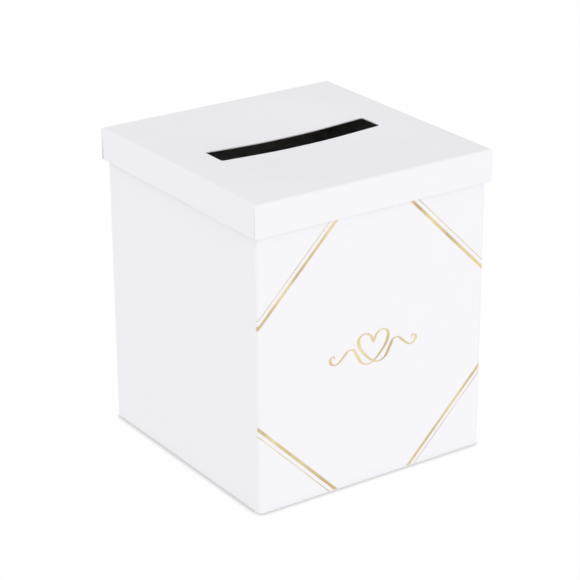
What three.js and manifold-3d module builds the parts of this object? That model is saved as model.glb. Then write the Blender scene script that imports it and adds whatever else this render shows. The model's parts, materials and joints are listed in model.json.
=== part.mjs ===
// A wedding card box of folding board: a square box with a lift-off lid that has a card slot in its top.
// Each blank is creased and folded, and every panel between two creases is a solid of its own here.
// Units are millimetres. +Z is up, the printed front faces -Y, and the origin is the middle of the base.
// Run with the npm packages three and manifold-3d.

import * as THREE from "three";
import { mergeVertices } from "three/addons/utils/BufferGeometryUtils.js";
import Module from "manifold-3d";

// ---- Driving dimensions ----

const BOARD = 0.8; // thickness of the folding board
const BOX_WIDTH = 200; // outside the box walls, along X
const BOX_DEPTH = 200; // outside the box walls, along Y
const WALL_TOP = 236; // height of the walls' top edge
const CREASE_RADIUS = 1.5; // outside radius of a folded crease
const CREASE_GAP = 0.1; // left between two panels where their board is creased
const CREASE_STEPS = 3; // half the number of flats round half a crease
const PLY_GAP = 0.1; // left between two layers of board that lie on each other

const LID_CLEARANCE = 0.4; // between the front and back linings and the box walls
const LID_REST_GAP = 0.2; // under the lid's top panel, over the walls
const RIM_DEPTH = 25; // lid's top to the bottom of its rim
const RIM_TAB_LENGTH = 27; // corner tab from the lid's corner to its free end
const RIM_TAB_TAPER = 4; // how much the tab's free end narrows, top and bottom
const RIM_TAB_MARGIN = 1.2; // between a tab and the folds above and below it
const LINING_TOP_GAP = 1.5; // between a lining's top edge and the lid's top panel
const LINING_END_GAP = 0.4; // between a lining's ends and the board that they meet

const SLOT_LENGTH = 140;
const SLOT_WIDTH = 23;
const SLOT_CORNER = 2;

const SEAM_TAB_WIDTH = 24; // glued overlap inside the back wall
const SEAM_TAB_TAPER = 8; // how much its free edge is shorter, top and bottom

const BASE_SIDE_GAP = 0.5; // base panel's side edges inside the walls' outside faces
const TUCK_HEIGHT = 26; // tuck flap, from its crease
const TUCK_LEAN = 13.5; // degrees that the tuck flap leans in from upright
const TUCK_WALL_GAP = 0.4; // between the tuck flap's foot and the seam tab
const TUCK_END_GAP = 3; // between the tuck flap's ends and the side walls
const TUCK_CORNER = 14; // radius of the tuck flap's free corners
const DUST_DEPTH = 70; // dust flap, from the side wall towards the middle
const DUST_HINGE_GAP = 5; // dust flap's front end behind the base panel's hinge
const DUST_HINGE_SLOPE = 1.15; // over 1, so that the opening base panel never lifts the flap
const DUST_TUCK_GAP = 6; // dust flap's back edge in front of the tuck flap's crease
const DUST_TUCK_SLOPE = 0.15; // its back edge's run along Y for each millimetre of its depth
const DUST_CORNER = 6; // how far its free corners are cut back

const FOIL = 0.1; // thickness of the foil print
const FOIL_GAP = 0.05; // between the foil and the board
const LINE_LEG = 68; // corner of the front's visible area to where a bold line meets its edge
const BOLD_LINE = 2;
const FINE_LINE = 0.8;
const LINE_SPACING = 4.8; // bold line's middle to the fine line's middle
const LINE_BLEED = 8; // how far the upper lines run on under the lid

const PEN_THIN = 0.7; // flourish's width where its line runs level
const PEN_THICK = 2.6; // flourish's width where its line runs upright
const PEN_TIP = 0.25; // width at the line's tips, as a share of its full width
const PEN_TIP_LENGTH = 1 / 12; // how much of the line a tip tapers over
const PEN_STEPS = 120;

// One pen line, as [x, z]: from the tip of a tail, under the middle, round a lobe and down to the dip.
const PEN_POINTS = [
  [-34, -0.5],
  [-35.5, 1.5],
  [-38, 0],
  [-37.5, -3.5],
  [-33, -5.5],
  [-27.5, -2],
  [-22.5, 2.5],
  [-18, 2.5],
  [-14.5, -3],
  [-10.5, -9.5],
  [-5, -12],
  [0, -10.5],
  [7.5, -4],
  [12.5, 3.5],
  [12.8, 9.5],
  [8, 12.5],
  [2.8, 10],
  [0, 4],
];

// ---- Worked out from the driving dimensions ----

const QUARTER_TURN = Math.PI / 2;
const HALF_WIDTH = BOX_WIDTH / 2;
const HALF_DEPTH = BOX_DEPTH / 2;
const LAYER = BOARD + PLY_GAP; // one layer of board to the next
const LONG_LINING_LAYERS = 2; // layers outside the front and back linings: the rim and a corner tab
const SIDE_LINING_LAYERS = 1; // layers outside the side linings: the rim
const LID_OVERHANG = LONG_LINING_LAYERS * LAYER + BOARD + LID_CLEARANCE; // beyond the box walls
const LID_TOP = WALL_TOP + LID_REST_GAP + BOARD;
const LID_HALF_WIDTH = HALF_WIDTH + LID_OVERHANG;
const LID_HALF_DEPTH = HALF_DEPTH + LID_OVERHANG;
const LONG_LINING_HALF = LID_HALF_WIDTH - CREASE_RADIUS - LINING_END_GAP;
const SIDE_LINING_HALF = HALF_DEPTH + LID_CLEARANCE - LINING_END_GAP;
const DUST_TOP = LAYER + BOARD; // top face of the dust flaps, which lie on the base panel
const BASE_HINGE = BOARD - HALF_DEPTH; // y of the base panel's hinge, on the front wall's inside
const TUCK_CREASE = HALF_DEPTH - BOARD - LAYER - TUCK_WALL_GAP - BOARD; // y of the tuck flap's pivot
const PRINT_TOP = LID_TOP - RIM_DEPTH; // the front's visible area ends at the lid's rim

// ---- Materials ----

const board = new THREE.MeshStandardMaterial({ color: 0xf4f4f7, roughness: 0.55, metalness: 0 });
const goldFoil = new THREE.MeshStandardMaterial({ color: 0xd6b877, roughness: 0.3, metalness: 1 });

// ---- Solids and outlines ----

const wasm = await Module();
wasm.setup();

/** A closed three.js geometry as a manifold-3d solid. */
function solidOf(geometry) {
  const bare = geometry.clone();
  bare.deleteAttribute("normal");
  bare.deleteAttribute("uv");
  const merged = mergeVertices(bare, 1e-4);
  const mesh = new wasm.Mesh({
    numProp: 3,
    vertProperties: merged.attributes.position.array,
    triVerts: new Uint32Array(merged.index.array),
  });
  return new wasm.Manifold(mesh);
}

/** A manifold-3d solid as a three.js geometry. */
function geometryOf(solid) {
  const mesh = solid.getMesh();
  const geometry = new THREE.BufferGeometry();
  geometry.setAttribute("position", new THREE.BufferAttribute(mesh.vertProperties, 3));
  geometry.setIndex(new THREE.BufferAttribute(mesh.triVerts, 1));
  geometry.computeVertexNormals();
  return geometry;
}

/** The part of a geometry that lies inside another. */
function trimmed(geometry, trimmer) {
  return geometryOf(solidOf(geometry).intersect(solidOf(trimmer)));
}

/** An outline drawn in (x, y), extruded along Z, from z = low to z = high. */
function alongZ(outline, low, high) {
  const options = { depth: high - low, bevelEnabled: false, curveSegments: 8 };
  return new THREE.ExtrudeGeometry(outline, options).translate(0, 0, low);
}

/** An outline drawn in (x, z), extruded along Y, from y = low to y = high. */
function alongY(outline, low, high) {
  return alongZ(outline, -high, -low).rotateX(QUARTER_TURN);
}

/** An outline drawn in (y, z), extruded along X, from x = low to x = high. */
function alongX(outline, low, high) {
  return alongZ(outline, low, high).rotateX(QUARTER_TURN).rotateZ(QUARTER_TURN);
}

/** A closed outline through these [x, y] points, without the repeats where two curves meet. */
function outlineOf(points) {
  const isNew = ([x, y], index) => {
    const [lastX, lastY] = points.at(index - 1);
    return Math.hypot(x - lastX, y - lastY) > 1e-6;
  };
  return new THREE.Shape(points.filter(isNew).map(([x, y]) => new THREE.Vector2(x, y)));
}

/** An outline's points moved by a function of (u, v), as a new outline. */
function mapped(outline, place) {
  return outlineOf(outline.getPoints(CREASE_STEPS).map(({ x, y }) => place(x, y)));
}

/** How far round its fold a panel's end turns: half of a right angle, less half the gap in the crease. */
function creaseSweep(radius) {
  return QUARTER_TURN / 2 - CREASE_GAP / (2 * (radius - BOARD / 2));
}

/**
 * The section of a panel that lies along u, outside face at v = 0 and inside face at v = -BOARD.
 * An end with a radius is creased, so it turns in by its half of the fold; one with none is cut square.
 */
function panelSection(start, end, startRadius, endRadius) {
  const shape = new THREE.Shape();
  if (endRadius > 0) {
    const turn = QUARTER_TURN - creaseSweep(endRadius);
    shape.absarc(end - endRadius, -endRadius, endRadius - BOARD, QUARTER_TURN, turn, true);
    shape.absarc(end - endRadius, -endRadius, endRadius, turn, QUARTER_TURN, false);
  } else {
    shape.moveTo(end, -BOARD);
    shape.lineTo(end, 0);
  }
  if (startRadius > 0) {
    const turn = QUARTER_TURN + creaseSweep(startRadius);
    shape.absarc(start + startRadius, -startRadius, startRadius, QUARTER_TURN, turn, false);
    shape.absarc(start + startRadius, -startRadius, startRadius - BOARD, turn, QUARTER_TURN, true);
  } else {
    shape.lineTo(start, 0);
    shape.lineTo(start, -BOARD);
  }
  return shape;
}

/** A named sub-part. */
function part(name, geometry, material = board) {
  const mesh = new THREE.Mesh(geometry, material);
  mesh.name = name;
  return mesh;
}

/** A sub-part drawn where the front one stands, and turned about Z to another side. */
function turnedPart(name, geometry, quarterTurns) {
  const mesh = part(name, geometry);
  mesh.rotation.z = quarterTurns * QUARTER_TURN;
  return mesh;
}

const FRONT = 0;
const RIGHT = 1;
const BACK = 2;
const LEFT = 3;

// ---- Box walls: one creased strip, glued at the back right corner ----

/** A wall from u = start to u = end, its outside face reach from the middle. */
function wall(name, side, start, end, reach, bottom, startRadius = CREASE_RADIUS) {
  const section = panelSection(start, end, startRadius, CREASE_RADIUS);
  const plan = mapped(section, (u, v) => [u, -reach - v]);
  return turnedPart(name, alongZ(plan, bottom, WALL_TOP), side);
}

/**
 * A tab that is creased at its root and tapered towards its free end, drawn at the front and at the left:
 * root is the x of its fold. flip is -1 to draw it at the right.
 */
function taperedTab(name, side, flip, { root, length, reach, bottom, top, taper }) {
  const section = panelSection(root, root + length, CREASE_RADIUS, 0);
  const plan = mapped(section, (u, v) => [flip * u, -reach - v]);
  const taperStart = root + CREASE_RADIUS;
  const face = outlineOf([
    [flip * root, bottom],
    [flip * taperStart, bottom],
    [flip * (root + length), bottom + taper],
    [flip * (root + length), top - taper],
    [flip * taperStart, top],
    [flip * root, top],
  ]);
  const trimmer = alongY(face, -reach - BOARD, -reach + 2 * CREASE_RADIUS);
  return turnedPart(name, trimmed(alongZ(plan, bottom, top), trimmer), side);
}

/** The right wall stops one layer short of the back, because its glued tab goes inside the back wall. */
function boxWalls() {
  const walls = new THREE.Group();
  const seamTab = {
    root: -HALF_WIDTH,
    length: SEAM_TAB_WIDTH,
    reach: HALF_DEPTH - LAYER,
    bottom: DUST_TOP,
    top: WALL_TOP,
    taper: SEAM_TAB_TAPER,
  };
  walls.add(
    wall("front_wall", FRONT, -HALF_WIDTH, HALF_WIDTH, HALF_DEPTH, BOARD),
    wall("right_wall", RIGHT, -HALF_DEPTH, HALF_DEPTH - LAYER, HALF_WIDTH, DUST_TOP),
    wall("back_wall", BACK, -HALF_WIDTH, HALF_WIDTH, HALF_DEPTH, 0, 0),
    wall("left_wall", LEFT, -HALF_DEPTH, HALF_DEPTH, HALF_WIDTH, DUST_TOP),
    taperedTab("seam_tab", BACK, 1, seamTab),
  );
  return walls;
}

// ---- Base: a hinged panel with a tuck flap, under two dust flaps ----

/** Hinged on the front wall's foot: its upper front edge lies along the hinge's axis. */
function basePanel() {
  const half = HALF_WIDTH - BASE_SIDE_GAP;
  const front = BASE_HINGE + CREASE_GAP;
  const back = TUCK_CREASE - CREASE_GAP;
  const outline = outlineOf([[-half, front], [half, front], [half, back], [-half, back]]);
  return part("base_panel", alongZ(outline, 0, BOARD));
}

/** Tucked up behind the back wall and the seam tab, leaning in, with its free corners rounded. */
function tuckFlap() {
  const half = HALF_WIDTH - BOARD - TUCK_END_GAP;
  const outline = new THREE.Shape();
  outline.moveTo(-half, CREASE_GAP);
  outline.lineTo(half, CREASE_GAP);
  outline.absarc(half - TUCK_CORNER, TUCK_HEIGHT - TUCK_CORNER, TUCK_CORNER, 0, QUARTER_TURN);
  outline.absarc(TUCK_CORNER - half, TUCK_HEIGHT - TUCK_CORNER, TUCK_CORNER, QUARTER_TURN, 2 * QUARTER_TURN);
  const flap = part("tuck_flap", alongY(outline, 0, BOARD));
  flap.position.set(0, TUCK_CREASE, BOARD);
  flap.rotation.x = THREE.MathUtils.degToRad(TUCK_LEAN);
  return flap;
}

/** Lies on the base panel, hinged on a side wall's foot. flip is 1 for the left wall and -1 for the right. */
function dustFlap(name, flip) {
  const root = BOARD + CREASE_GAP - HALF_WIDTH;
  const tip = BOARD - HALF_WIDTH + DUST_DEPTH;
  const front = BASE_HINGE + DUST_HINGE_GAP;
  const back = TUCK_CREASE - DUST_TUCK_GAP;
  const frontTip = front + DUST_DEPTH * DUST_HINGE_SLOPE;
  const backTip = back - DUST_DEPTH * DUST_TUCK_SLOPE;
  const cut = flip * (tip - DUST_CORNER);
  const outline = new THREE.Shape();
  outline.moveTo(flip * root, front);
  outline.lineTo(cut, frontTip - DUST_CORNER * DUST_HINGE_SLOPE);
  outline.quadraticCurveTo(flip * tip, frontTip, flip * tip, frontTip + DUST_CORNER);
  outline.lineTo(flip * tip, backTip - DUST_CORNER);
  outline.quadraticCurveTo(flip * tip, backTip, cut, backTip + DUST_CORNER * DUST_TUCK_SLOPE);
  outline.lineTo(flip * root, back);
  const flap = part(name, alongZ(outline, 0, BOARD));
  flap.position.z = LAYER;
  return flap;
}

function base() {
  const panels = new THREE.Group();
  panels.add(basePanel(), tuckFlap(), dustFlap("dust_flap_left", 1), dustFlap("dust_flap_right", -1));
  return panels;
}

// ---- Lid: a top panel, rims that fold down, corner tabs, and linings rolled up inside ----
// Inside the lid's group, z = 0 is the lid's top.

/** The top panel, with all four edges turned down by half a crease, and the slot cut through it. */
function lidTop() {
  const across = panelSection(-LID_HALF_WIDTH, LID_HALF_WIDTH, CREASE_RADIUS, CREASE_RADIUS);
  const along = panelSection(-LID_HALF_DEPTH, LID_HALF_DEPTH, CREASE_RADIUS, CREASE_RADIUS);
  const flat = (u, v) => [u, v];
  const sheet = trimmed(
    alongY(mapped(across, flat), -LID_HALF_DEPTH, LID_HALF_DEPTH),
    alongX(mapped(along, flat), -LID_HALF_WIDTH, LID_HALF_WIDTH),
  );
  const x = SLOT_LENGTH / 2 - SLOT_CORNER;
  const y = SLOT_WIDTH / 2 - SLOT_CORNER;
  const slot = new THREE.Shape();
  slot.absarc(x, -y, SLOT_CORNER, -QUARTER_TURN, 0);
  slot.absarc(x, y, SLOT_CORNER, 0, QUARTER_TURN);
  slot.absarc(-x, y, SLOT_CORNER, QUARTER_TURN, 2 * QUARTER_TURN);
  slot.absarc(-x, -y, SLOT_CORNER, 2 * QUARTER_TURN, 3 * QUARTER_TURN);
  const cutter = alongZ(slot, -2 * BOARD, BOARD);
  return part("lid_top", geometryOf(solidOf(sheet).subtract(solidOf(cutter))));
}

/** The outside radius of the fold under a rim whose lining has this many layers outside it. */
function footRadius(layers) {
  return Math.min(CREASE_RADIUS, (layers * LAYER + BOARD) / 2);
}

/**
 * A rim: an upright strip whose top and bottom edges turn in by half a fold. reach is the distance
 * of its outside face from the middle. endRadius is 0 for the square-cut ends of the front and back
 * rims; the side rims turn in there, into their tabs.
 */
function rim(name, side, half, reach, layers, endRadius) {
  const upright = panelSection(-RIM_DEPTH, 0, footRadius(layers), CREASE_RADIUS);
  const profile = mapped(upright, (u, v) => [-reach - v, u]);
  const plan = mapped(panelSection(-half, half, endRadius, endRadius), (u, v) => [u, -reach - v]);
  return turnedPart(name, trimmed(alongX(profile, -half, half), alongZ(plan, -RIM_DEPTH, 0)), side);
}

/** A lining: the rim's board rolled under its foot and up inside it, past the layers between. */
function lining(name, side, half, reach, layers) {
  const outside = reach - layers * LAYER; // the lining's face towards the rim
  const inside = outside - BOARD;
  const radius = footRadius(layers);
  const bend = radius - BOARD;
  const foot = radius - RIM_DEPTH; // height of the folds' centres
  const top = -BOARD - LINING_TOP_GAP;
  const start = 3 * QUARTER_TURN - creaseSweep(radius);
  const section = new THREE.Shape();
  section.absarc(radius - reach, foot, radius, start, 3 * QUARTER_TURN, false);
  section.absarc(-inside - radius, foot, radius, 3 * QUARTER_TURN, 4 * QUARTER_TURN, false);
  section.lineTo(-inside, top);
  section.lineTo(-outside, top);
  section.absarc(-inside - radius, foot, bend, 0, -QUARTER_TURN, true);
  section.absarc(radius - reach, foot, bend, 3 * QUARTER_TURN, start, true);
  const profile = mapped(section, (u, v) => [u, v]);
  return turnedPart(name, alongX(profile, -half, half), side);
}

/** The side rims' tabs lie between the front or back rim and its lining. */
function lidBlank() {
  const lid = new THREE.Group();
  lid.position.z = LID_TOP;
  const tab = {
    root: -LID_HALF_WIDTH,
    length: RIM_TAB_LENGTH,
    reach: LID_HALF_DEPTH - LAYER,
    bottom: LAYER + RIM_TAB_MARGIN - RIM_DEPTH,
    top: -BOARD - RIM_TAB_MARGIN,
    taper: RIM_TAB_TAPER,
  };
  lid.add(
    lidTop(),
    rim("lid_rim_front", FRONT, LID_HALF_WIDTH, LID_HALF_DEPTH, LONG_LINING_LAYERS, 0),
    rim("lid_rim_back", BACK, LID_HALF_WIDTH, LID_HALF_DEPTH, LONG_LINING_LAYERS, 0),
    rim("lid_rim_right", RIGHT, tab.reach, LID_HALF_WIDTH, SIDE_LINING_LAYERS, CREASE_RADIUS),
    rim("lid_rim_left", LEFT, tab.reach, LID_HALF_WIDTH, SIDE_LINING_LAYERS, CREASE_RADIUS),
    taperedTab("lid_tab_front_left", FRONT, 1, tab),
    taperedTab("lid_tab_front_right", FRONT, -1, tab),
    taperedTab("lid_tab_back_left", BACK, -1, tab),
    taperedTab("lid_tab_back_right", BACK, 1, tab),
    lining("lid_lining_front", FRONT, LONG_LINING_HALF, LID_HALF_DEPTH, LONG_LINING_LAYERS),
    lining("lid_lining_back", BACK, LONG_LINING_HALF, LID_HALF_DEPTH, LONG_LINING_LAYERS),
    lining("lid_lining_right", RIGHT, SIDE_LINING_HALF, LID_HALF_WIDTH, SIDE_LINING_LAYERS),
    lining("lid_lining_left", LEFT, SIDE_LINING_HALF, LID_HALF_WIDTH, SIDE_LINING_LAYERS),
  );
  return lid;
}

// ---- Foil print on the front wall ----
// Inside the print's group, y = 0 is the foil's back and z = 0 the box's foot.

/**
 * A 45 degree line across a corner of the visible front, over the wall's flat part only. side is
 * -1 or 1, and leg is the distance from that corner to where the line's middle meets each edge.
 */
function foilLine(name, side, upper, leg, width) {
  const across = (width / 2) * Math.SQRT2;
  const bleed = upper ? LINE_BLEED : -CREASE_RADIUS;
  const place = (fromSide, fromEnd) => [
    side * (HALF_WIDTH - fromSide),
    upper ? PRINT_TOP - fromEnd : fromEnd,
  ];
  const outline = outlineOf([
    place(CREASE_RADIUS, leg - CREASE_RADIUS - across),
    place(CREASE_RADIUS, leg - CREASE_RADIUS + across),
    place(leg + bleed + across, -bleed),
    place(leg + bleed - across, -bleed),
  ]);
  return part(name, alongY(outline, -FOIL, 0), goldFoil);
}

/** A flat ribbon along the pen line, as wide as a broad pen draws it. flip is -1 to mirror it. */
function penStroke(flip) {
  const points = PEN_POINTS.map(([x, z]) => new THREE.Vector3(flip * x, z, 0));
  const curve = new THREE.CatmullRomCurve3(points, false, "centripetal");
  const left = [];
  const right = [];
  for (let step = 0; step <= PEN_STEPS; step += 1) {
    const t = step / PEN_STEPS;
    const middle = curve.getPointAt(t);
    const along = curve.getTangentAt(t);
    const fade = Math.min(1, Math.sqrt(Math.min(t, 1 - t) / PEN_TIP_LENGTH));
    const full = PEN_THIN + (PEN_THICK - PEN_THIN) * along.y ** 2;
    const half = (full * (PEN_TIP + (1 - PEN_TIP) * fade)) / 2;
    left.push([middle.x - along.y * half, middle.y + along.x * half]);
    right.push([middle.x + along.y * half, middle.y - along.x * half]);
  }
  return solidOf(alongY(outlineOf([...left, ...right.reverse()]), -FOIL, 0));
}

/** A line-drawn heart between two swashes, in the middle of what shows of the front. */
function flourish() {
  const heart = part("foil_flourish", geometryOf(penStroke(1).add(penStroke(-1))), goldFoil);
  heart.position.z = PRINT_TOP / 2;
  return heart;
}

function foilPrint() {
  const print = new THREE.Group();
  print.position.y = -HALF_DEPTH - FOIL_GAP;
  const fineLeg = LINE_LEG - LINE_SPACING * Math.SQRT2;
  const corners = [
    ["top_left", -1, true],
    ["top_right", 1, true],
    ["bottom_left", -1, false],
    ["bottom_right", 1, false],
  ];
  corners.forEach(([corner, side, upper]) => {
    print.add(
      foilLine(`foil_bold_line_${corner}`, side, upper, LINE_LEG, BOLD_LINE),
      foilLine(`foil_fine_line_${corner}`, side, upper, fineLeg, FINE_LINE),
    );
  });
  print.add(flourish());
  return print;
}

// ---- The card box ----

const cardBox = new THREE.Group();
cardBox.add(boxWalls(), base(), lidBlank(), foilPrint());

export default cardBox;
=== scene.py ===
# A wedding card box of white folding board: a square sleeve with a tuck-in base, a lift-off lid with
# a card slot, and a gold foil print on its front. Metres, +Z up, the printed front faces -Y, and the
# origin is the middle of the base.

import json
import math

import bmesh
import bpy
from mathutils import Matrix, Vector


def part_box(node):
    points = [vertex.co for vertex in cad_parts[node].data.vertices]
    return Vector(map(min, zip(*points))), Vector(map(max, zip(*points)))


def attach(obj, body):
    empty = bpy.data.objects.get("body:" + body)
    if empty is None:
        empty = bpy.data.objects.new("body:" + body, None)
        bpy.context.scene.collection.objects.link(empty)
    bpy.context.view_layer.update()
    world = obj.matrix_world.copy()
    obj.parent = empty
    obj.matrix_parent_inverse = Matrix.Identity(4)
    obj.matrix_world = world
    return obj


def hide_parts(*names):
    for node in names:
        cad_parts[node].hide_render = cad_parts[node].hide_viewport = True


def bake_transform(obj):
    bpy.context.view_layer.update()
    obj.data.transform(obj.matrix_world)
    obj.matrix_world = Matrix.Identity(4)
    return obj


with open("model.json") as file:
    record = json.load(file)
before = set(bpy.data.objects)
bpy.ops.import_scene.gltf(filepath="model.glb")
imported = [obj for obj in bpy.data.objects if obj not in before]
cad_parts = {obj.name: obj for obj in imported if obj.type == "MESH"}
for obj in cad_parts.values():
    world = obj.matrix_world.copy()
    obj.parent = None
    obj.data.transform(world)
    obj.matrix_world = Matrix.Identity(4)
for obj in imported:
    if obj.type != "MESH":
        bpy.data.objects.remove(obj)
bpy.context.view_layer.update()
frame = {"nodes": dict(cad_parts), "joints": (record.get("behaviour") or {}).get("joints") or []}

bpy.ops.object.select_all(action="DESELECT")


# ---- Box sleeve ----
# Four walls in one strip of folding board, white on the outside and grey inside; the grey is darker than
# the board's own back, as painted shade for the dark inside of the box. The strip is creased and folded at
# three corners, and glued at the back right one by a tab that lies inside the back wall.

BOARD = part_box("base_panel")[1].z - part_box("base_panel")[0].z
WALL_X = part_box("right_wall")[1].x  # outside faces of the walls
WALL_Y = -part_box("front_wall")[0].y
WALL_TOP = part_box("front_wall")[1].z
FRONT_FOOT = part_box("front_wall")[0].z
SIDE_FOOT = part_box("right_wall")[0].z
BACK_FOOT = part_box("back_wall")[0].z
TAB_SKIN_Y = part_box("seam_tab")[1].y  # the glued tab's face towards the back wall
TAB_END_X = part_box("seam_tab")[0].x
TAB_TAPER = 0.008  # and its free edge is this much shorter, top and bottom
CORNER_FOLD = 0.0028  # outside radius of an upright crease
FOLD_STEPS = 8
QUARTER = math.radians(90)
NEAR = 1e-5
CUT_EDGE_ROUND = 0.00008  # a cut edge of board is not quite sharp
CUT_EDGE_ANGLE = math.radians(50)  # an edge at least this sharp is a cut one
CREASE_ANGLE = math.radians(40)  # faces that meet at less than this are shaded as one curve
FOOT_STEP = 0.0004  # length of the step in a side wall's foot, beside a dust flap's crease

WHITE_BOARD = (0.846, 0.838, 0.868, 1)
# The inside colour is the board's grey back, made darker still as painted shade for the box's dark inside.
GREY_BACK_AND_PAINTED_SHADE = (0.40, 0.39, 0.385, 1)
BOARD_CORE = (0.80, 0.785, 0.76, 1)

NOISE_ROUGHNESS = 0.55
CLOUDS = 45  # features to the metre: soft patches in the colour and the gloss
SPECKS = 1400
FIBRES = 900
FIBRE_GRAIN = (1, 1, 0.22)  # the fibres run up the board
WAVES = 16  # the panels' slight unevenness
WAVE_DEPTH = 0.0012
BUMP_STRENGTH = 0.5
SHADE_LOW, SHADE_HIGH = 0.6, 1.4  # what the sum of clouds and specks mostly lies between
GLOSS_SPREAD = 0.05
COAT_ROUGHNESS = 0.45


def add_node(tree, kind, inputs=None, **settings):
    """A shader node with these settings, and inputs given as values or as other nodes' sockets."""
    node = tree.nodes.new("ShaderNode" + kind)
    for name, value in settings.items():
        setattr(node, name, value)
    for name, value in (inputs or {}).items():
        if isinstance(value, bpy.types.NodeSocket):
            tree.links.new(value, node.inputs[name])
        else:
            node.inputs[name].default_value = value
    return node


def noise(tree, place, scale, detail, stretch=(1, 1, 1), shift=(0, 0, 0)):
    """Noise in 3-D, with so many features to the metre, in the board's own place."""
    moved = add_node(tree, "Mapping", {"Vector": place, "Location": shift, "Scale": stretch})
    inputs = {"Vector": moved.outputs["Vector"], "Scale": scale, "Detail": detail,
              "Roughness": NOISE_ROUGHNESS}
    return add_node(tree, "TexNoise", inputs).outputs["Fac"]


def ranged(tree, value, low, high, value_low=0.0, value_high=1.0):
    """A value between value_low and value_high, spread from low to high."""
    inputs = {"Value": value, "From Min": value_low, "From Max": value_high, "To Min": low, "To Max": high}
    return add_node(tree, "MapRange", inputs).outputs["Result"]


def paper(name, colour, mottle, fibre_depth, roughness, specular, coat=0.0):
    """Board surface: a colour that is cloudy by a share of mottle, over a bump of fibres and waves."""
    made = bpy.data.materials.new(name)
    made.use_nodes = True
    tree = made.node_tree
    shader = tree.nodes["Principled BSDF"]
    place = add_node(tree, "TexCoord").outputs["Object"]
    cloud = noise(tree, place, CLOUDS, detail=3)
    speck = noise(tree, place, SPECKS, detail=2)
    fibre = noise(tree, place, FIBRES, detail=4, stretch=FIBRE_GRAIN)
    wave = noise(tree, place, WAVES, detail=1)
    shade = add_node(tree, "Math", {0: cloud, 1: speck}, operation="ADD").outputs["Value"]
    light = ranged(tree, shade, 1 - mottle, 1 + mottle, SHADE_LOW, SHADE_HIGH)
    tint = add_node(tree, "HueSaturation", {"Color": colour, "Value": light})
    tree.links.new(tint.outputs["Color"], shader.inputs["Base Color"])
    rough = ranged(tree, cloud, roughness - GLOSS_SPREAD, roughness + GLOSS_SPREAD)
    tree.links.new(rough, shader.inputs["Roughness"])
    sway = add_node(tree, "Bump", {"Height": wave, "Strength": BUMP_STRENGTH, "Distance": WAVE_DEPTH})
    pits = add_node(tree, "Bump", {"Height": fibre, "Strength": BUMP_STRENGTH, "Distance": fibre_depth,
                                   "Normal": sway.outputs["Normal"]})
    tree.links.new(pits.outputs["Normal"], shader.inputs["Normal"])
    shader.inputs["Specular IOR Level"].default_value = specular
    shader.inputs["Coat Weight"].default_value = coat
    shader.inputs["Coat Roughness"].default_value = COAT_ROUGHNESS
    return made


board_outside = paper("coated_white_board", WHITE_BOARD, mottle=0.008, fibre_depth=0.00004,
                      roughness=0.52, specular=0.45, coat=0.08)
# The board's back: its own grey, darkened further as painted shade for the inside of the box.
board_back_and_painted_shade = paper("uncoated_board_back_and_painted_shade", GREY_BACK_AND_PAINTED_SHADE, mottle=0.05, fibre_depth=0.00012,
                     roughness=0.85, specular=0.2)
board_edge = paper("cut_board_edge", BOARD_CORE, mottle=0.12, fibre_depth=0.0002,
                   roughness=0.9, specular=0.15)


def pick(kind, test):
    """Selects only those vertices, edges or faces whose every corner passes the test."""
    bpy.ops.mesh.select_mode(type=kind)
    bpy.ops.mesh.select_all(action="DESELECT")
    shape = bmesh.from_edit_mesh(bpy.context.edit_object.data)
    for item in {"VERT": shape.verts, "EDGE": shape.edges, "FACE": shape.faces}[kind]:
        corners = [item] if kind == "VERT" else item.verts
        item.select_set(all(test(corner.co) for corner in corners))
    bmesh.update_edit_mesh(bpy.context.edit_object.data)


def start_sheet(name, middle, size, facing):
    """A plane of this (width, height), turned by facing about X, left open in edit mode."""
    bpy.ops.mesh.primitive_plane_add(size=1, location=middle, rotation=(facing, 0, 0))
    sheet = bpy.context.object
    sheet.name = name
    sheet.scale = (*size, 1)
    bpy.ops.object.transform_apply(location=True, rotation=True, scale=True)
    bpy.ops.object.mode_set(mode="EDIT")
    return sheet


def fold(centre, axis, angle):
    """Carries the picked edge round a crease. The spin tool counts its angle the other way round."""
    bpy.ops.mesh.spin(steps=FOLD_STEPS, angle=-angle, center=centre, axis=axis)


def extend(x=0.0, y=0.0, z=0.0):
    """Carries the picked edge on, as the next panel."""
    bpy.ops.mesh.extrude_region_move(TRANSFORM_OT_translate={"value": (x, y, z)})


def move(x=0.0, y=0.0, z=0.0):
    """Shifts what is picked."""
    bpy.ops.transform.translate(value=(x, y, z))


def apply_modifier(piece, kind, **settings):
    """Adds a modifier with these settings and applies it."""
    made = piece.modifiers.new(kind.lower(), kind)
    for name, value in settings.items():
        setattr(made, name, value)
    bpy.ops.object.modifier_apply(modifier=made.name)


def face_outwards(toward):
    """Turns the open sheet's white face outwards, judged on the panel that lies furthest toward."""
    bpy.ops.mesh.select_mode(type="FACE")
    bpy.ops.mesh.select_all(action="SELECT")
    bpy.ops.mesh.remove_doubles(threshold=NEAR)
    bpy.ops.mesh.normals_make_consistent(inside=False)
    shape = bmesh.from_edit_mesh(bpy.context.edit_object.data)
    outermost = max(shape.faces, key=lambda face: face.calc_center_median().dot(toward))
    if outermost.normal.dot(toward) < 0:
        bpy.ops.mesh.flip_normals()


def make_board(piece, toward, thickness=BOARD):
    """Gives the open sheet the board's thickness and its three surfaces."""
    face_outwards(Vector(toward))
    bpy.ops.object.mode_set(mode="OBJECT")
    for surface in (board_outside, board_back_and_painted_shade, board_edge):
        piece.data.materials.append(surface)
    apply_modifier(piece, "SOLIDIFY", thickness=thickness, offset=-1, use_even_offset=True,
                   material_offset=1, material_offset_rim=2)


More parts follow.
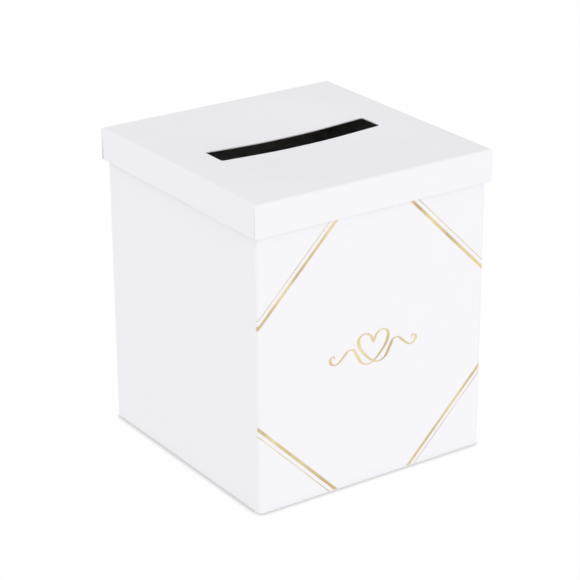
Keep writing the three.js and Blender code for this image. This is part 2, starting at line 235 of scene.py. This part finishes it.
def finish_board(piece):
    """Rounds the cut edges a little, and shades the panels flat and the creases smooth."""
    apply_modifier(piece, "BEVEL", width=CUT_EDGE_ROUND, segments=2, limit_method="ANGLE",
                   angle_limit=CUT_EDGE_ANGLE, harden_normals=False)
    bpy.ops.object.shade_smooth_by_angle(angle=CREASE_ANGLE)
    apply_modifier(piece, "WEIGHTED_NORMAL", mode="FACE_AREA", keep_sharp=True)
    piece.select_set(False)


flat_x = WALL_X - CORNER_FOLD
flat_y = WALL_Y - CORNER_FOLD
wall_height = WALL_TOP - FRONT_FOOT
sleeve = start_sheet("box_sleeve", (0, -WALL_Y, FRONT_FOOT + wall_height / 2), (2 * flat_x, wall_height),
                     QUARTER)
pick("EDGE", lambda p: p.x < -flat_x + NEAR)
fold((-flat_x, -flat_y, 0), (0, 0, 1), -QUARTER)
extend(y=2 * flat_y)
fold((-flat_x, flat_y, 0), (0, 0, 1), -QUARTER)
extend(x=flat_x + WALL_X)

pick("EDGE", lambda p: p.x > flat_x - NEAR and p.y < -WALL_Y + NEAR)
fold((flat_x, -flat_y, 0), (0, 0, 1), QUARTER)
extend(y=TAB_SKIN_Y - CORNER_FOLD + flat_y)
fold((flat_x, TAB_SKIN_Y - CORNER_FOLD, 0), (0, 0, 1), QUARTER)
extend(x=TAB_END_X - flat_x)


def on_tab(p):
    """True for a point of the seam tab."""
    return p.x > TAB_END_X - NEAR and TAB_SKIN_Y - CORNER_FOLD / 2 < p.y < TAB_SKIN_Y + NEAR


pick("VERT", lambda p: on_tab(p) and p.x < TAB_END_X + NEAR and p.z > WALL_TOP / 2)
move(z=-TAB_TAPER)
pick("VERT", lambda p: on_tab(p) and p.x < TAB_END_X + NEAR and p.z < WALL_TOP / 2)
move(z=TAB_TAPER)

# The feet of the walls are cut to the layers of board that fold under them, with a step beside each
# dust flap's crease.
dust_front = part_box("dust_flap_left")[0].y
dust_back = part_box("dust_flap_left")[1].y
for cut in (dust_front - FOOT_STEP, dust_front, dust_back, dust_back + FOOT_STEP):
    bpy.ops.mesh.select_all(action="SELECT")
    bpy.ops.mesh.bisect(plane_co=(0, cut, 0), plane_no=(0, 1, 0))
pick("VERT", lambda p: p.z < FRONT_FOOT + NEAR
     and (dust_front - NEAR < p.y < dust_back + NEAR or on_tab(p)))
move(z=SIDE_FOOT - FRONT_FOOT)
pick("VERT", lambda p: p.z < FRONT_FOOT + NEAR and p.y > TAB_SKIN_Y + NEAR)
move(z=BACK_FOOT - FRONT_FOOT)
make_board(sleeve, (0, -1, 0))
finish_board(sleeve)
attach(sleeve, "box")
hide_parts("front_wall", "right_wall", "back_wall", "left_wall", "seam_tab")


# ---- Base panel ----
# The bottom of the box: a panel of the same board, creased along the front wall's foot, that swings down
# to open the box from below. It is cut back a little at the crease to clear the rounded corners.

HINGED_BOARD = 0.95 * BOARD  # at these tight creases, just less than the board's own thickness
BASE_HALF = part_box("base_panel")[1].x
joints = {joint["name"]: joint for joint in frame["joints"]}
base_hinge = Vector(joints["base_open"]["pos_m"])
tuck_hinge = Vector(joints["tuck_unfold"]["pos_m"])

base = start_sheet("base_panel_board", (0, (base_hinge.y + tuck_hinge.y) / 2, 0),
                   (2 * BASE_HALF, tuck_hinge.y - base_hinge.y), 2 * QUARTER)
pick("EDGE", lambda p: p.y < base_hinge.y + NEAR)
fold(base_hinge, (1, 0, 0), -QUARTER)
pick("VERT", lambda p: p.y < base_hinge.y + NEAR)
bpy.ops.transform.resize(value=(flat_x / BASE_HALF, 1, 1), center_override=(0, 0, 0))
make_board(base, (0, 0, -1), HINGED_BOARD)
finish_board(base)
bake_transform(base)
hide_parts("base_panel")


# ---- Tuck flap ----
# A strip of the same board along the base panel's back edge, with rounded corners. It is pushed up
# behind the back wall and springs against it, which holds the base shut.

TUCK_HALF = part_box("tuck_flap")[1].x
TUCK_HEIGHT = 0.026
TUCK_LEAN = math.radians(13.5)  # in from upright
TUCK_CORNER = 0.014

tuck = start_sheet("tuck_flap_board", (0, tuck_hinge.y + BOARD, tuck_hinge.z + TUCK_HEIGHT / 2),
                   (2 * TUCK_HALF, TUCK_HEIGHT), -QUARTER)
pick("VERT", lambda p: p.z > tuck_hinge.z + NEAR)
bpy.ops.mesh.bevel(offset=TUCK_CORNER, segments=FOLD_STEPS, affect="VERTICES")
bpy.ops.mesh.select_all(action="SELECT")
bpy.ops.transform.rotate(value=-TUCK_LEAN, orient_axis="X", center_override=tuck_hinge)
pick("EDGE", lambda p: (p - tuck_hinge).yz.length < BOARD + NEAR)
fold(tuck_hinge, (1, 0, 0), -(QUARTER + TUCK_LEAN))
make_board(tuck, (0, 1, 0), HINGED_BOARD)
finish_board(tuck)
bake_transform(tuck)
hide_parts("tuck_flap")


# ---- Dust flaps ----
# Two flaps creased along the side walls' feet. They lie on the base panel and close the gaps at its
# sides, and their slanted front edges let the base panel swing out past them.

DUST_FRONT_SLOPE = 1.15  # an edge's run along Y for each metre of the flap's depth
DUST_BACK_SLOPE = 0.15
DUST_CORNER = 0.006

for side, hand in ((-1, "left"), (1, "right")):
    name = f"dust_flap_{hand}"
    dust_low, dust_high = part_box(name)
    hinge = Vector(joints[f"dust_open_{hand}"]["pos_m"])
    tip_x = side * min(abs(dust_low.x), abs(dust_high.x))
    depth = abs(hinge.x - tip_x)
    skin = hinge.z - BOARD
    dust = start_sheet(name + "_board", ((hinge.x + tip_x) / 2, (dust_low.y + dust_high.y) / 2, skin),
                       (depth, dust_high.y - dust_low.y), 2 * QUARTER)
    pick("VERT", lambda p: abs(p.x - tip_x) < NEAR and p.y < 0)
    move(y=depth * DUST_FRONT_SLOPE)
    pick("VERT", lambda p: abs(p.x - tip_x) < NEAR and p.y > dust_high.y - NEAR)
    move(y=-depth * DUST_BACK_SLOPE)
    pick("VERT", lambda p: abs(p.x - tip_x) < NEAR)
    bpy.ops.mesh.bevel(offset=DUST_CORNER, segments=FOLD_STEPS, affect="VERTICES")
    pick("EDGE", lambda p: abs(p.x - hinge.x) < NEAR)
    fold(hinge, (0, 1, 0), -side * QUARTER)
    make_board(dust, (0, 0, -1), HINGED_BOARD)
    finish_board(dust)
    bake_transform(dust)
    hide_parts(name)


# ---- Lid ----
# One blank of the same board: a square top with rims folded down, which roll under and up inside as
# linings. The side rims end in tabs that are held between the front and back rims and their linings.

LID_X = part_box("lid_rim_right")[1].x
LID_Y = -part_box("lid_rim_front")[0].y
LID_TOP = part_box("lid_top")[1].z
RIM_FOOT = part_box("lid_lining_front")[0].z
LINING_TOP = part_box("lid_lining_front")[1].z
LID_FOLD = 0.0020  # outside radius of the creases round the top
RIM_FOLD = 0.0009  # and of those between a side rim and its tabs
RIM_TAB_TAPER = 0.004  # a tab's free end is this much narrower, top and bottom
RIM_MIDDLE = (RIM_FOOT + LID_TOP) / 2
FOLD_FOOT = LID_TOP - LID_FOLD
long_hem = (LID_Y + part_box("lid_lining_front")[1].y) / 2  # outside radius of the fold under a rim
side_hem = (LID_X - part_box("lid_lining_right")[0].x) / 2
rim_tab_low, rim_tab_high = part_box("lid_tab_front_left")
side_rim_end = -rim_tab_low.y - RIM_FOLD
TOP_CELLS = 24  # the top is divided both ways, so that it can sag

bpy.ops.mesh.primitive_cube_add(size=1, location=(0, 0, LID_TOP - 2 * LID_FOLD))
lid = bpy.context.object
lid.name = "lid_blank"
lid.scale = (2 * LID_X, 2 * LID_Y, 4 * LID_FOLD)
bpy.ops.object.transform_apply(location=True, rotation=True, scale=True)
bpy.ops.object.mode_set(mode="EDIT")
pick("EDGE", lambda p: p.z > LID_TOP - NEAR)
bpy.ops.mesh.bevel(offset=LID_FOLD, segments=FOLD_STEPS, affect="EDGES")
pick("FACE", lambda p: p.z < FOLD_FOOT + NEAR)
bpy.ops.mesh.delete(type="FACE")
cuts = [side_rim_end * (2 * step / TOP_CELLS - 1) for step in range(TOP_CELLS + 1)]
for cut in cuts:
    for along in ((1, 0, 0), (0, 1, 0)):
        bpy.ops.mesh.select_all(action="SELECT")
        bpy.ops.mesh.bisect(plane_co=Vector(along) * cut, plane_no=along)


def hem(outward, reach, radius, half, lining_half):
    """A rim down from the top's crease, rolled under at its foot and up inside as its lining."""
    outward = Vector(outward)
    axis = Vector((0, 0, 1)).cross(outward)
    pick("EDGE", lambda p: p.dot(outward) > reach - NEAR and p.z < FOLD_FOOT + NEAR
         and abs(p.dot(axis)) < half + NEAR)
    extend(z=RIM_FOOT + radius - FOLD_FOOT)
    fold(outward * (reach - radius) + Vector((0, 0, RIM_FOOT + radius)), axis, 2 * QUARTER)
    extend(z=LINING_TOP - RIM_FOOT - radius)
    pick("VERT", lambda p: -NEAR < reach - radius - p.dot(outward) < radius + NEAR
         and p.z < LINING_TOP + NEAR and abs(p.dot(axis)) > lining_half)
    share = lining_half / half
    shrink = (share, 1, 1) if abs(axis.x) > 0.5 else (1, share, 1)
    bpy.ops.transform.resize(value=shrink, center_override=(0, 0, 0))


hem((0, -1, 0), LID_Y, long_hem, LID_X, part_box("lid_lining_front")[1].x)
hem((0, 1, 0), LID_Y, long_hem, LID_X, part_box("lid_lining_back")[1].x)
hem((-1, 0, 0), LID_X, side_hem, side_rim_end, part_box("lid_lining_left")[1].y)
hem((1, 0, 0), LID_X, side_hem, side_rim_end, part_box("lid_lining_right")[1].y)


def near_edge(p, upright):
    """True for a point on the upright edge at this (x, y)."""
    return abs(p.x - upright.x) < NEAR and abs(p.y - upright.y) < NEAR


for side in (-1, 1):
    for end in (-1, 1):
        pick("EDGE", lambda p: abs(p.x - side * LID_X) < NEAR and abs(p.y - end * side_rim_end) < NEAR
             and RIM_FOOT + side_hem - NEAR < p.z < FOLD_FOOT + NEAR)
        fold((side * (LID_X - RIM_FOLD), end * side_rim_end, 0), (0, 0, 1), side * end * QUARTER)
        extend(x=side * (abs(rim_tab_high.x) - LID_X + RIM_FOLD))
        free_end = Vector((side * abs(rim_tab_high.x), -end * rim_tab_low.y))
        pick("VERT", lambda p: near_edge(p, free_end) and p.z < RIM_MIDDLE)
        move(z=rim_tab_low.z + RIM_TAB_TAPER - RIM_FOOT - side_hem)
        pick("VERT", lambda p: near_edge(p, free_end) and p.z > RIM_MIDDLE)
        move(z=rim_tab_high.z - RIM_TAB_TAPER - FOLD_FOOT)
make_board(lid, (0, 0, 1))


# ---- Card slot ----
# A long slot with small round corners, punched through the middle of the lid's top. The board has given
# way a little between the slot and the rims, and both of its long edges sag.

SLOT_LENGTH = 0.140
SLOT_WIDTH = 0.023
SLOT_CORNER = 0.002
SLOT_SAG = 0.0026
SAG_HALF = 0.012  # the middle of each long edge, to this far both ways, sags the most
SAG_REACH = 0.086  # and the sag dies out this far from there
PUNCH_HEIGHT = 0.01

bpy.ops.mesh.primitive_cube_add(size=1, location=(0, 0, LID_TOP))
punch = bpy.context.object
punch.scale = (SLOT_LENGTH, SLOT_WIDTH, PUNCH_HEIGHT)
bpy.ops.object.transform_apply(location=True, rotation=True, scale=True)
bpy.ops.object.mode_set(mode="EDIT")
bpy.ops.mesh.select_mode(type="EDGE")
bpy.ops.mesh.select_all(action="DESELECT")
shape = bmesh.from_edit_mesh(punch.data)
for edge in shape.edges:
    edge.select_set(abs((edge.verts[0].co - edge.verts[1].co).normalized().z) > 0.5)
bmesh.update_edit_mesh(punch.data)
bpy.ops.mesh.bevel(offset=SLOT_CORNER, segments=FOLD_STEPS, affect="EDGES")
bpy.ops.object.mode_set(mode="OBJECT")
punch.data.materials.append(board_edge)
punch.select_set(False)
lid.select_set(True)
bpy.context.view_layer.objects.active = lid
apply_modifier(lid, "BOOLEAN", operation="DIFFERENCE", object=punch, solver="EXACT",
               material_mode="TRANSFER")
bpy.data.objects.remove(punch)

bpy.ops.object.mode_set(mode="EDIT")
pick("VERT", lambda p: abs(p.x) < SAG_HALF and abs(p.y) < SLOT_WIDTH / 2 + NEAR)
bpy.ops.transform.translate(value=(0, 0, -SLOT_SAG), use_proportional_edit=True,
                            proportional_edit_falloff="SMOOTH", proportional_size=SAG_REACH)
bpy.ops.object.mode_set(mode="OBJECT")
finish_board(lid)
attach(lid, "lid")
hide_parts("lid_top", *(f"lid_{part}_{end}" for part in ("rim", "lining")
                              for end in ("front", "right", "back", "left")),
            *(f"lid_tab_{end}_{side}" for end in ("front", "back") for side in ("left", "right")))


# ---- Gold foil ----
# Metal foil, hot-stamped on the board and as thin as a film: a bold and a fine line across each corner
# of the front, which end in the upright creases, and a line-drawn heart with swashes in its middle.

FOIL = 0.00004
FOIL_LIFT = 0.00003  # between the foil and the board
LINE_LEG = 0.068  # corner of the visible front to where a bold line meets its edges
LINE_SPACING = 0.0041
BOLD_LINE = 0.0023
FINE_LINE = 0.00055
LINE_RISE = 0.008  # the upper lines run on this far under the lid
LINE_STOP = 0.0003  # the lower lines stop this far above the cut edge, clear of its rounding
CREASE_STOP = CORNER_FOLD / 10  # all lines stop this far inside the side walls' outside faces
FOIL_GOLD = (0.58, 0.43, 0.23, 1)
FOIL_PALE_GOLD = (0.86, 0.73, 0.42, 1)
BLOTCHES = 40  # features to the metre: where the foil lies a little differently to the light
BLOTCH_SHIFT = (3, 0, 0)
BLOTCH_LOW, BLOTCH_HIGH = 0.3, 0.7
FOIL_ROUGHNESS = (0.2, 0.42)
FOIL_GRAIN = 1500  # features to the metre: the board's fibres under the foil
FOIL_GRAIN_DEPTH = 0.00003
FOIL_GRAIN_STRENGTH = 0.4

foil = bpy.data.materials.new("gold_foil")
foil.use_nodes = True
tree = foil.node_tree
shader = tree.nodes["Principled BSDF"]
place = add_node(tree, "TexCoord").outputs["Object"]
blotch = noise(tree, place, BLOTCHES, detail=2, shift=BLOTCH_SHIFT)
tone = ranged(tree, blotch, 0, 1, BLOTCH_LOW, BLOTCH_HIGH)
# Among a Mix node's sockets, input 6 is colour A, input 7 is colour B and output 2 is the mixed colour.
gold = add_node(tree, "Mix", {"Factor": tone, 6: FOIL_GOLD, 7: FOIL_PALE_GOLD}, data_type="RGBA")
tree.links.new(gold.outputs[2], shader.inputs["Base Color"])
tree.links.new(ranged(tree, blotch, *FOIL_ROUGHNESS), shader.inputs["Roughness"])
grain = add_node(tree, "Bump", {"Height": noise(tree, place, FOIL_GRAIN, detail=2),
                                "Strength": FOIL_GRAIN_STRENGTH, "Distance": FOIL_GRAIN_DEPTH})
tree.links.new(grain.outputs["Normal"], shader.inputs["Normal"])
shader.inputs["Metallic"].default_value = 1.0


def stamp_line(name, side, up, leg, width):
    """A foil line at 45 degrees across a corner, pressed onto the wall and round its crease."""
    corner_z = RIM_FOOT if up > 0 else 0
    middle = (side * (WALL_X - leg / 2), -WALL_Y - CORNER_FOLD, corner_z - up * leg / 2)
    slant = side * up * QUARTER / 2
    bpy.ops.mesh.primitive_plane_add(size=1, location=middle, rotation=(QUARTER, slant, 0))
    line = bpy.context.object
    line.name = name
    line.scale = (2 * leg, width, 1)
    bpy.ops.object.transform_apply(location=True, rotation=True, scale=True)
    bpy.ops.object.mode_set(mode="EDIT")
    end_z = RIM_FOOT + LINE_RISE if up > 0 else FRONT_FOOT + LINE_STOP
    ends = [((side * (WALL_X - CREASE_STOP), 0, 0), (side, 0, 0)), ((0, 0, end_z), (0, 0, up))]
    for point, away in ends:
        bpy.ops.mesh.select_all(action="SELECT")
        bpy.ops.mesh.bisect(plane_co=point, plane_no=away, clear_outer=True)
    for step in range(FOLD_STEPS):
        turned = math.sin(QUARTER * step / FOLD_STEPS)
        bpy.ops.mesh.select_all(action="SELECT")
        bpy.ops.mesh.bisect(plane_co=(side * (flat_x + CORNER_FOLD * turned), 0, 0), plane_no=(1, 0, 0))
    face_outwards(Vector((0, -1, 0)))
    bpy.ops.object.mode_set(mode="OBJECT")
    apply_modifier(line, "SHRINKWRAP", target=sleeve, wrap_method="PROJECT", use_project_y=True,
                   use_positive_direction=True, offset=FOIL_LIFT)
    apply_modifier(line, "SOLIDIFY", thickness=FOIL, offset=1)
    line.data.materials.append(foil)
    bpy.ops.object.shade_smooth_by_angle(angle=CREASE_ANGLE)
    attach(line, "box")
    line.select_set(False)
    return line


for up, end in ((1, "top"), (-1, "bottom")):
    for side, hand in ((-1, "left"), (1, "right")):
        bold = stamp_line(f"bold_line_{end}_{hand}", side, up, LINE_LEG, BOLD_LINE)
        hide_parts(f"foil_bold_line_{end}_{hand}")
        fine_leg = LINE_LEG - LINE_SPACING * math.sqrt(2)
        fine = stamp_line(f"fine_line_{end}_{hand}", side, up, fine_leg, FINE_LINE)
        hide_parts(f"foil_fine_line_{end}_{hand}")

flourish = frame["nodes"]["foil_flourish"]
flourish.data.materials.clear()
flourish.data.materials.append(foil)


# ---- Studio ----
# A pale table in even white light, with a large soft lamp low in front. The room is darker low down on
# the right, and the table is darker close to whatever stands on it.

CAMERA_PLACE = (-0.8509, -1.2399, 0.7428)
CAMERA_HEADING = math.radians(34.33)
CAMERA_DIP = math.radians(22.61)
CAMERA_ROLL = math.radians(0.29)
CAMERA_LENS = 134.3  # millimetres
CAMERA_SENSOR = 36  # millimetres

bpy.ops.object.camera_add(location=CAMERA_PLACE)
camera = bpy.context.object
camera.data.lens = CAMERA_LENS
camera.data.sensor_width = CAMERA_SENSOR
camera.rotation_euler = (QUARTER - CAMERA_DIP, 0, -CAMERA_HEADING)
camera.rotation_euler.rotate_axis("Z", -CAMERA_ROLL)
bpy.context.scene.camera = camera

TABLE_WIDTH = 12
TABLE_DROP = 0.0002  # the table's top is this far below the box
TABLE_COLOUR = (0.10, 0.10, 0.10, 1)
TABLE_GLOW = 0.90
CONTACT_REACH = 0.006  # how far something shades the table round it
CONTACT_GLOW = 0.58  # the table's glow where it is shaded most
OPEN_LOW, OPEN_HIGH = 0.45, 0.85  # the shading runs between these shares of open sky

bpy.ops.mesh.primitive_plane_add(size=TABLE_WIDTH, location=(0, 0, -TABLE_DROP))
floor = bpy.context.object
floor.name = "floor"
table = bpy.data.materials.new("pale_table")
table.use_nodes = True
table_shader = table.node_tree.nodes["Principled BSDF"]
table_shader.inputs["Base Color"].default_value = TABLE_COLOUR
table_shader.inputs["Roughness"].default_value = 1.0
table_shader.inputs["Specular IOR Level"].default_value = 0.0
table_shader.inputs["Emission Color"].default_value = (1, 1, 1, 1)
openness = add_node(table.node_tree, "AmbientOcclusion", {"Distance": CONTACT_REACH}, samples=16)
glow = ranged(table.node_tree, openness.outputs["AO"], CONTACT_GLOW, TABLE_GLOW, OPEN_LOW, OPEN_HIGH)
table.node_tree.links.new(glow, table_shader.inputs["Emission Strength"])
floor.data.materials.append(table)

LAMP_PLACE = Vector((0.6, -2.4, 0.5))
LAMP_AIM = Vector((0, -WALL_Y, 0.11))  # near the middle of the printed front
LAMP_WIDTH = 1.0
LAMP_HEIGHT = 0.8
LAMP_POWER = 6.5  # watts

bpy.ops.object.light_add(type="AREA", location=LAMP_PLACE)
lamp = bpy.context.object
lamp.data.shape = "RECTANGLE"
lamp.data.size = LAMP_WIDTH
lamp.data.size_y = LAMP_HEIGHT
lamp.data.energy = LAMP_POWER
lamp.rotation_euler = (LAMP_AIM - LAMP_PLACE).to_track_quat("-Z", "Y").to_euler()

SHADY_SIDE = Vector((1, 0.35, -0.9)).normalized()
SHADE_START, SHADE_END = 0.15, 0.6  # cosines of the angle from the shady side's middle
ROOM_LIGHT = 1.02
SHADY_LIGHT = 0.1

world = bpy.data.worlds.new("studio")
bpy.context.scene.world = world
world.use_nodes = True
room = world.node_tree
background = room.nodes["Background"]
background.inputs["Color"].default_value = (1, 1, 1, 1)
direction = add_node(room, "TexCoord").outputs["Generated"]
toward_shade = add_node(room, "VectorMath", {0: direction, 1: SHADY_SIDE}, operation="DOT_PRODUCT")
brightness = ranged(room, toward_shade.outputs["Value"], ROOM_LIGHT, SHADY_LIGHT, SHADE_START, SHADE_END)
room.links.new(brightness, background.inputs["Strength"])

bpy.context.scene.view_settings.view_transform = "Standard"
